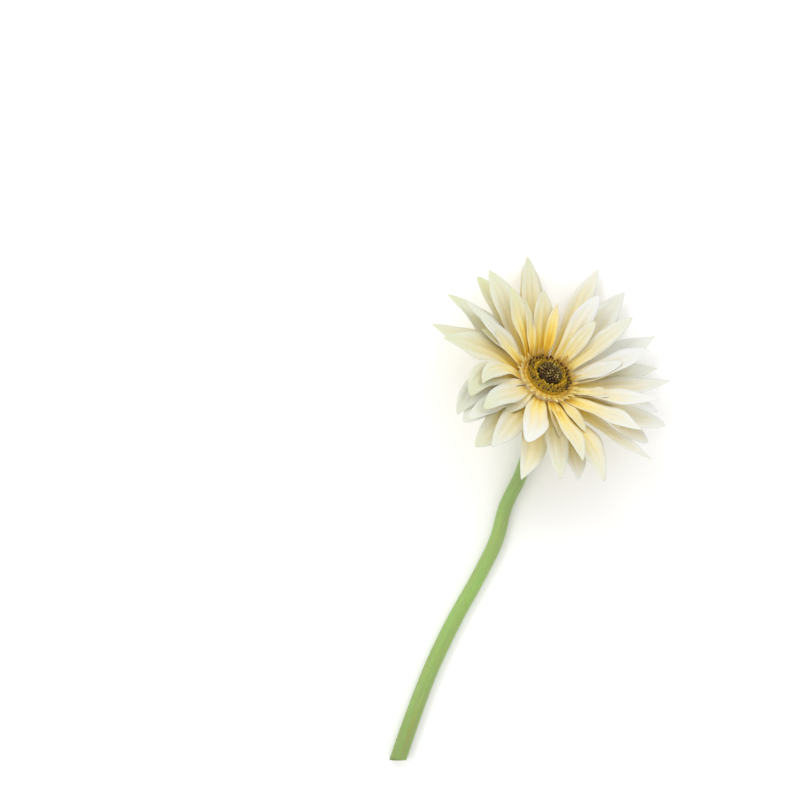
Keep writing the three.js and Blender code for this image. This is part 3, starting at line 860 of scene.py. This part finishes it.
# Trans florets
# Short narrow straps that stand up round the disc, between it and the rays. They are the same soft
# tissue as the rays, golden at the foot and paler at the end.
TRANS_COUNT = 30
TRANS_LENGTH = 5.5
TRANS_WIDTH = 2.0
TRANS_SOLID_STEPS = 3
TRANS_STEPS = 12
TRANS_COLUMNS = 4
TRANS_THICKNESS = 0.3
TRANS_CHANNEL = 0.3
TRANS_ROOT = {"radius": 10.2, "height": 0.2}
TRANS_SEED = 17
TRANS_SPREAD = {"turn": 0.2, "length": 0.25, "rise": 3}
TRANS_RISE = {"usual": 55, "downhill": 15, "drop": 30}


def trans_width_share(share):
    root, run, tip = 0.2, 0.79, 0.06
    return max(math.sin(math.pi * (root + run * share)), tip)


# Trans floret tissue: as the rays', thinner and more yellow. Downhill it is darkened to khaki: painted
# shade on the far side of the disc.
trans_skin, tree = new_material(
    "trans_floret_tissue", Roughness=0.5, Subsurface_Weight=0.3, Subsurface_Scale=0.0015,
    Subsurface_Radius=(1.0, 0.7, 0.4),
)
share = add_node(tree, "ShaderNodeAttribute", {"attribute_name": "along"})
coordinates = add_node(tree, "ShaderNodeTexCoord")
flecks = add_node(
    tree, "ShaderNodeTexNoise", {"Scale": 300.0, "Detail": 3.0},
    {"Vector": coordinates.outputs["Object"]},
)
place = add_node(
    tree, "ShaderNodeMath", {"operation": "MULTIPLY_ADD", 1: 0.3}, {0: flecks, 2: share.outputs["Fac"]}
)
golds = [(0.1, "#d2a638"), (0.4, "#dab64e"), (0.75, "#dfc268"), (1.0, "#e2cc80")]
gold = add_node(tree, "ShaderNodeValToRGB", {"stops": golds}, {0: place})
# Darker khaki downhill, on the far side of the disc: painted shade
far_shade = add_node(tree, "ShaderNodeAttribute", {"attribute_name": "far"})
khaki_shade = add_node(
    tree, "ShaderNodeMix", {"data_type": "RGBA", "blend_type": "MULTIPLY", 7: linear("#cdb98a")},
    {0: far_shade.outputs["Fac"], 6: gold},
)
finish_material(tree, khaki_shade, flecks, Strength=0.3, Distance=0.0002)

points, faces, shares, far = [], [], [], []
draw = seeded_draws(TRANS_SEED)
for i in range(TRANS_COUNT):
    azimuth = math.tau * (i + TRANS_SPREAD["turn"] * draw()) / TRANS_COUNT
    length = TRANS_LENGTH * (1 + TRANS_SPREAD["length"] * draw())
    rise = TRANS_RISE["usual"] + TRANS_RISE["downhill"] * math.cos(azimuth)
    rise += TRANS_SPREAD["rise"] * draw()
    out = outwards(azimuth)
    across = np.cross(OUT_OF_FACE, out)
    point = head_point(azimuth, TRANS_ROOT["radius"], TRANS_ROOT["height"])
    lag = 0.5 / TRANS_SOLID_STEPS
    grid, share_of = [], []
    for s in range(TRANS_STEPS + 1):
        share = s / TRANS_STEPS
        slope = math.radians(rise - TRANS_RISE["drop"] * max(share - lag, 0))
        along = out * math.cos(slope) + OUT_OF_FACE * math.sin(slope)
        over = OUT_OF_FACE * math.cos(slope) - out * math.sin(slope)
        half = TRANS_WIDTH / 2 * trans_width_share(share)
        for u in np.linspace(-1, 1, TRANS_COLUMNS + 1):
            grid.append(point + across * half * u + over * TRANS_CHANNEL * u * u)
            share_of.append(share)
        point = point + along * length / TRANS_STEPS
    grid = np.array(grid).reshape(TRANS_STEPS + 1, TRANS_COLUMNS + 1, 3)
    add_blade(points, faces, grid, np.full(grid.shape[:2], TRANS_THICKNESS))
    shares += share_of * 2
    # How far downhill each floret stands, for the painted shade
    far += [max(math.cos(azimuth), 0.0)] * len(share_of) * 2
trans_florets = mesh_object("trans_floret_ring", points, faces, trans_skin, along=shares, far=far)
belongs(trans_florets, "trans_petal", "trans_florets")

# Disc florets
# Three rings of small tubular florets on the head's flat top: a five-lobed tube with a column of
# anthers standing out of it. The outer rings' anthers are dark brown, the inner ring's still golden.
DISC_RINGS = [
    {"count": 26, "radius": 6.6, "foot": 2.0, "lean": 4, "dark": 0.15},
    {"count": 31, "radius": 7.8, "foot": 1.7, "lean": 12, "dark": 0.8},
    {"count": 36, "radius": 8.9, "foot": 1.5, "lean": 20, "dark": 1.0},
]
FLORET_HEIGHT = 2.6
FLORET_SIDES = 10
ANTHERS = 5
ANTHER_TIP = 1.16
FLORET_SHIFT = (0.0003, 0.0003, 0.0002)
FLORET_LEAN = 0.14
FLORET_SIZES = {"Smallest": 0.85, "Largest": 1.12}
FLORET_AGE = 0.35
# The flesh that the florets stand on: radius and height of each turn of its outline
DISC_CORE = [(9.3, 0.7), (9.6, 1.2), (9.3, 1.9), (8.7, 2.3), (7.8, 2.6), (5.6, 2.9), (5.5, 1.2)]
CORE_TONE = 0.15
CORE_DARKNESS = 0.7


def disc_floret():
    """One floret, upright on the origin: its tube and lobes, then the anther column. Tone runs from
    0 at the foot to 0.6 at the lobes' ends, and is 1 on the anthers."""
    tube = [(0.4, -0.1, 0.0), (0.42, 0.3, 0.2), (0.46, 0.57, 0.35), (0.52, 0.7, 0.45)]
    anthers = [(0.34, 0.62, 1.0), (0.5, 0.9, 1.0), (0.44, 1.08, 1.0)]
    rings = [(FLORET_SIDES, [row] * FLORET_SIDES) for row in tube]
    rings.append((FLORET_SIDES, [(0.85, 0.78, 0.6), (0.52, 0.7, 0.5)] * (FLORET_SIDES // 2)))
    rings.append((FLORET_SIDES, [(0.3, 0.65, 0.4)] * FLORET_SIDES))
    rings += [(ANTHERS, [row] * ANTHERS) for row in anthers]
    points, tones = [], []
    for sides, ring in rings:
        for k, (radius, share, tone) in enumerate(ring):
            a = math.tau * k / sides
            points.append((radius * math.cos(a), radius * math.sin(a), FLORET_HEIGHT * share))
            tones.append(tone)
    outer = len(rings) - len(anthers)
    faces = tube_faces(outer, FLORET_SIDES)
    faces += tube_faces(len(anthers), ANTHERS, first=outer * FLORET_SIDES)
    points.append((0, 0, ANTHER_TIP * FLORET_HEIGHT))
    tones.append(1.0)
    tip = len(points) - 1
    for k in range(ANTHERS):
        faces.append((tip - ANTHERS + k, tip - ANTHERS + (k + 1) % ANTHERS, tip))
    return points, faces, tones


def floret_tissue(name, dark_share):
    """Floret tissue: soft golden tubes, olive at the foot, and dark brown anthers. The smaller the
    dark share and the floret's age, the more golden it is all over."""
    material, tree = new_material(
        name, Roughness=0.65, Subsurface_Weight=0.1, Subsurface_Scale=0.0006, Specular_IOR_Level=0.2
    )
    tone = add_node(tree, "ShaderNodeAttribute", {"attribute_name": "tone"})
    coordinates = add_node(tree, "ShaderNodeTexCoord")
    speckle = add_node(
        tree, "ShaderNodeTexNoise", {"Scale": 900.0, "Detail": 2.0},
        {"Vector": coordinates.outputs["Object"]},
    )
    tones = [(0.0, "#8f7418"), (0.25, "#c09a22"), (0.5, "#d8b63c"), (0.62, "#e2c98c"), (0.9, "#4e3418")]
    tube = add_node(tree, "ShaderNodeValToRGB", {"stops": tones}, {0: tone.outputs["Fac"]})
    age = add_node(tree, "ShaderNodeAttribute", {"attribute_name": "age"})
    youth = add_node(
        tree, "ShaderNodeMath", {"operation": "SUBTRACT", 0: 1 - dark_share, "use_clamp": True},
        {1: age.outputs["Fac"]},
    )
    golden = add_node(
        tree, "ShaderNodeMix", {"data_type": "RGBA", 7: linear("#cfa92c")}, {0: youth, 6: tube}
    )
    speckled = add_node(
        tree, "ShaderNodeMix", {"data_type": "RGBA", "blend_type": "SOFT_LIGHT", "Factor": 0.35},
        {6: golden, 7: speckle.outputs["Color"]},
    )
    finish_material(tree, speckled, speckle, Strength=0.4, Distance=0.0001)
    return material


def set_out(tree, places, angle, radius, height, lean):
    """Moves the places out to a radius and up to a height, each at its angle round the head's axis,
    and gives the rotations that turn what stands there by that angle and lean it outwards."""
    turn = add_node(tree, "FunctionNodeAxisAngleToRotation", {"Axis": (0.0, 0.0, 1.0)}, {"Angle": angle})
    foot = add_node(tree, "ShaderNodeCombineXYZ", links={0: radius, 2: height})
    turned_foot = add_node(tree, "FunctionNodeRotateVector", links={0: foot, 1: turn})
    moved = add_node(
        tree, "GeometryNodeSetPosition", links={"Geometry": places, "Position": turned_foot}
    )
    tilt = add_node(tree, "FunctionNodeAxisAngleToRotation", {"Axis": (0.0, 1.0, 0.0)}, {"Angle": lean})
    leaning = add_node(
        tree, "FunctionNodeRotateRotation", {"rotation_space": "LOCAL"}, {0: turn, 1: tilt}
    )
    return moved, leaning


tree, group = new_tree(
    "ring_of_florets", Count="Int", Ring_Radius="Float", Foot_Height="Float", Lean="Float",
    First_Turn="Float",
)
places, angle = evenly_round(tree, group)
radius, height, lean = group["Ring Radius"], group["Foot Height"], group["Lean"]
feet, leaning = set_out(tree, places, angle, radius, height, lean)
stagger = add_node(
    tree, "FunctionNodeRandomValue",
    {"data_type": "FLOAT_VECTOR", 0: tuple(-shift for shift in FLORET_SHIFT), 1: FLORET_SHIFT},
    {"Seed": group["Seed"]},
)
feet = add_node(tree, "GeometryNodeSetPosition", links={"Geometry": feet, "Offset": stagger})
leaning = tousled(tree, group, leaning, FLORET_LEAN)
florets = stood_up(tree, group, feet, group["Geometry"], leaning)
age = add_node(
    tree, "FunctionNodeRandomValue", {"data_type": "FLOAT", 2: -FLORET_AGE, 3: FLORET_AGE},
    {"Seed": group["Seed"]},
)
aged = add_node(
    tree, "GeometryNodeStoreNamedAttribute",
    {"data_type": "FLOAT", "domain": "INSTANCE", "Name": "age"},
    {"Geometry": florets, "Value": age},
)
end_tree(tree, group, aged)

core_tissue = floret_tissue("disc_flesh", CORE_DARKNESS)
points, faces = turned(DISC_CORE, CUP_SIDES)
core = mesh_object("disc_core", points, faces, core_tissue, tone=[CORE_TONE] * len(points))
core.data.transform(HEAD_PLACE)
belongs(core, "disc_floret", "disc_florets")
points, faces, tones = disc_floret()
for r, ring in enumerate(DISC_RINGS):
    tissue = floret_tissue(f"disc_floret_tissue_{r + 1}", ring["dark"])
    source = mesh_object("one_floret", points, faces, tissue, tone=tones)
    ring_of_florets = grown(
        f"disc_florets_{r + 1}", source, "ring_of_florets", HEAD_PLACE, Count=ring["count"],
        Ring_Radius=ring["radius"] * MM, Foot_Height=ring["foot"] * MM,
        Lean=math.radians(ring["lean"]), First_Turn=math.pi * r / ring["count"], Seed=40 + r,
        Material=tissue, **FLORET_SIZES,
    )
    bpy.data.objects.remove(source)
    belongs(ring_of_florets, "disc_floret")

# Disc heart
# The dome of closed buds in the middle of the disc, packed along a spiral: brown-black pointed buds,
# the next florets to open, on a cushion whose dark brown is painted shade in the gaps between them.
HEART_RADIUS = 5.2
HEART_BASE = 1.1
HEART_EDGE = 4.6
HEART_RISE = 1.8
CUSHION_STEPS = 8
CUSHION_ARC = 1.5
CUSHION_SHADE_TONE = 0.5
BUD_COUNT = 64
BUD_SIDES = 6
BUD_LEAN = math.radians(20)
BUD_SIZES = {"Smallest": 0.8, "Largest": 1.15}
BUD_MARGIN = 0.5
BUD_DEPTH = 0.4
# Rings of a bud: radius, height and tone, and the height of its point
BUD_RINGS = [(0.45, 0.0, 0.1), (0.68, 0.5, 0.25), (0.62, 1.05, 0.5), (0.32, 1.5, 0.9)]
BUD_HEIGHT = 1.65


def heart_top(radius):
    return HEART_EDGE + HEART_RISE * (1 - (radius / HEART_RADIUS) ** 2)


# Bud skin: dry and matt, brown-black with an olive bloom on the tips.
bud_skin, tree = new_material("closed_bud_skin", Roughness=0.7, Specular_IOR_Level=0.2)
tone = add_node(tree, "ShaderNodeAttribute", {"attribute_name": "tone"})
coordinates = add_node(tree, "ShaderNodeTexCoord")
speckle = add_node(
    tree, "ShaderNodeTexNoise", {"Scale": 420.0, "Detail": 3.0},
    {"Vector": coordinates.outputs["Object"]},
)
place = add_node(tree, "ShaderNodeMath", {"operation": "MULTIPLY_ADD", 1: 1.6, 2: -0.95}, {0: speckle})
place = add_node(tree, "ShaderNodeMath", {"operation": "ADD"}, {0: place, 1: tone.outputs["Fac"]})
browns = [(0.0, "#2a1c0e"), (0.45, "#473418"), (0.75, "#76602c"), (1.0, "#b0a060")]
brown = add_node(tree, "ShaderNodeValToRGB", {"stops": browns}, {0: place})
finish_material(tree, brown, speckle, Strength=0.5, Distance=0.0002)

tree, group = new_tree(
    "spiral_of_buds", Count="Int", Spread="Float", Foot_Height="Float", Dome_Height="Float", Lean="Float"
)
places = add_node(tree, "GeometryNodePoints", links={"Count": group["Count"]})
number = add_node(tree, "GeometryNodeInputIndex")
half_on = add_node(tree, "ShaderNodeMath", {"operation": "ADD", 1: 0.5}, {0: number})
area = add_node(tree, "ShaderNodeMath", {"operation": "DIVIDE"}, {0: half_on, 1: group["Count"]})
reach = add_node(tree, "ShaderNodeMath", {"operation": "SQRT"}, {0: area})
radius = add_node(tree, "ShaderNodeMath", {"operation": "MULTIPLY"}, {0: reach, 1: group["Spread"]})
angle = add_node(tree, "ShaderNodeMath", {"operation": "MULTIPLY", 1: GOLDEN_ANGLE}, {0: number})
below = add_node(tree, "ShaderNodeMath", {"operation": "SUBTRACT", 0: 1.0}, {1: area})
height = add_node(
    tree, "ShaderNodeMath", {"operation": "MULTIPLY_ADD"},
    {0: below, 1: group["Dome Height"], 2: group["Foot Height"]},
)
lean = add_node(tree, "ShaderNodeMath", {"operation": "MULTIPLY"}, {0: reach, 1: group["Lean"]})
feet, leaning = set_out(tree, places, angle, radius, height, lean)
end_tree(tree, group, stood_up(tree, group, feet, group["Geometry"], leaning))

radii = [HEART_RADIUS * math.cos(angle) for angle in np.linspace(0, CUSHION_ARC, CUSHION_STEPS)]
profile = [(HEART_RADIUS, HEART_BASE)] + [(radius, heart_top(radius)) for radius in radii]
points, faces = turned(profile, CUP_SIDES)
# The cushion takes the buds' dark brown skin: painted shade in the gaps between them
shaded_cushion = mesh_object("heart_cushion", points, faces, bud_skin, tone=[CUSHION_SHADE_TONE] * len(points))
shaded_cushion.data.transform(HEAD_PLACE)
belongs(shaded_cushion, "disc_bud", "disc_heart")
points = [
    (radius * math.cos(angle), radius * math.sin(angle), height)
    for radius, height, _ in BUD_RINGS
    for angle in math.tau * np.arange(BUD_SIDES) / BUD_SIDES
]
tones = [tone for _, _, tone in BUD_RINGS for _ in range(BUD_SIDES)]
points.append((0, 0, BUD_HEIGHT))
tones.append(1.0)
faces = tube_faces(len(BUD_RINGS), BUD_SIDES)
last = (len(BUD_RINGS) - 1) * BUD_SIDES
for k in range(BUD_SIDES):
    faces.append((last + k, last + (k + 1) % BUD_SIDES, len(points) - 1))
source = mesh_object("one_bud", points, faces, bud_skin, tone=tones)
heart_buds = grown(
    "heart_buds", source, "spiral_of_buds", HEAD_PLACE, Count=BUD_COUNT,
    Spread=(HEART_RADIUS - BUD_MARGIN) * MM, Foot_Height=(HEART_EDGE - BUD_DEPTH) * MM,
    Dome_Height=HEART_RISE * MM, Lean=BUD_LEAN, Seed=7, Material=bud_skin, **BUD_SIZES,
)
bpy.data.objects.remove(source)
belongs(heart_buds, "disc_bud")

# Surface
# A sheet of white studio board that the flower lies on. It is paper with a matt coating, and wide
# enough to fill every view.
BOARD_HALF = 3000
corners = [(x * BOARD_HALF, y * BOARD_HALF, 0) for x, y in ((-1, -1), (1, -1), (1, 1), (-1, 1))]
# White board: coated paper, almost evenly white, with a faint cloudiness.
white_board, tree = new_material("white_board", Roughness=0.8)
coordinates = add_node(tree, "ShaderNodeTexCoord")
clouds = add_node(tree, "ShaderNodeTexNoise", {"Scale": 8.0}, {"Vector": coordinates.outputs["Object"]})
whites = [(0.3, "#f6f6f6"), (0.7, "#f9f9f9")]
white = add_node(tree, "ShaderNodeValToRGB", {"stops": whites}, {0: clouds})
finish_material(tree, white)
board = mesh_object("board", corners, [(0, 1, 2, 3)], white_board)

# Light
# Bright, soft studio light: an even white room, and three broad lamps round the bloom, the strongest
# of them from the top left.
ROOM_BRIGHTNESS = 0.98
scene = bpy.context.scene
scene.view_settings.view_transform = "Standard"
world = bpy.data.worlds.new("white_room")
world.use_nodes = True
world.node_tree.nodes["Background"].inputs["Color"].default_value = (1.0, 1.0, 1.0, 1.0)
world.node_tree.nodes["Background"].inputs["Strength"].default_value = ROOM_BRIGHTNESS
scene.world = world


def area_light(name, place, aim, width, power):
    """A round lamp at a place, turned to its aim: metres and watts."""
    lamp = bpy.data.lights.new(name, "AREA")
    lamp.shape = "DISK"
    lamp.size = width
    lamp.energy = power
    holder = bpy.data.objects.new(name, lamp)
    holder.location = place
    holder.rotation_euler = (Vector(aim) - Vector(place)).to_track_quat("-Z", "Y").to_euler()
    scene.collection.objects.link(holder)


area_light("key", place=(-0.45, 0.75, 1.0), aim=(0.0, 0.03, 0.02), width=0.5, power=3.4)
area_light("fill", place=(-0.8, -0.3, 0.8), aim=(0.0, 0.0, 0.02), width=0.9, power=1.4)
area_light("front", place=(0.45, 0.75, 0.95), aim=(0.0, 0.05, 0.02), width=0.7, power=2.2)

# Camera
# Straight above the surface and nearly a metre up, with no turn. It stands so that the flower has
# its own place and size in the photograph's frame.
CAMERA_PLACE = (-55.59, 47.44, 976.6)
camera = bpy.data.cameras.new("camera")
camera.lens = 100
camera.sensor_width = 36
camera.clip_end = 20
viewer = bpy.data.objects.new("camera", camera)
viewer.location = Vector(CAMERA_PLACE) * MM
scene.collection.objects.link(viewer)
scene.camera = viewer
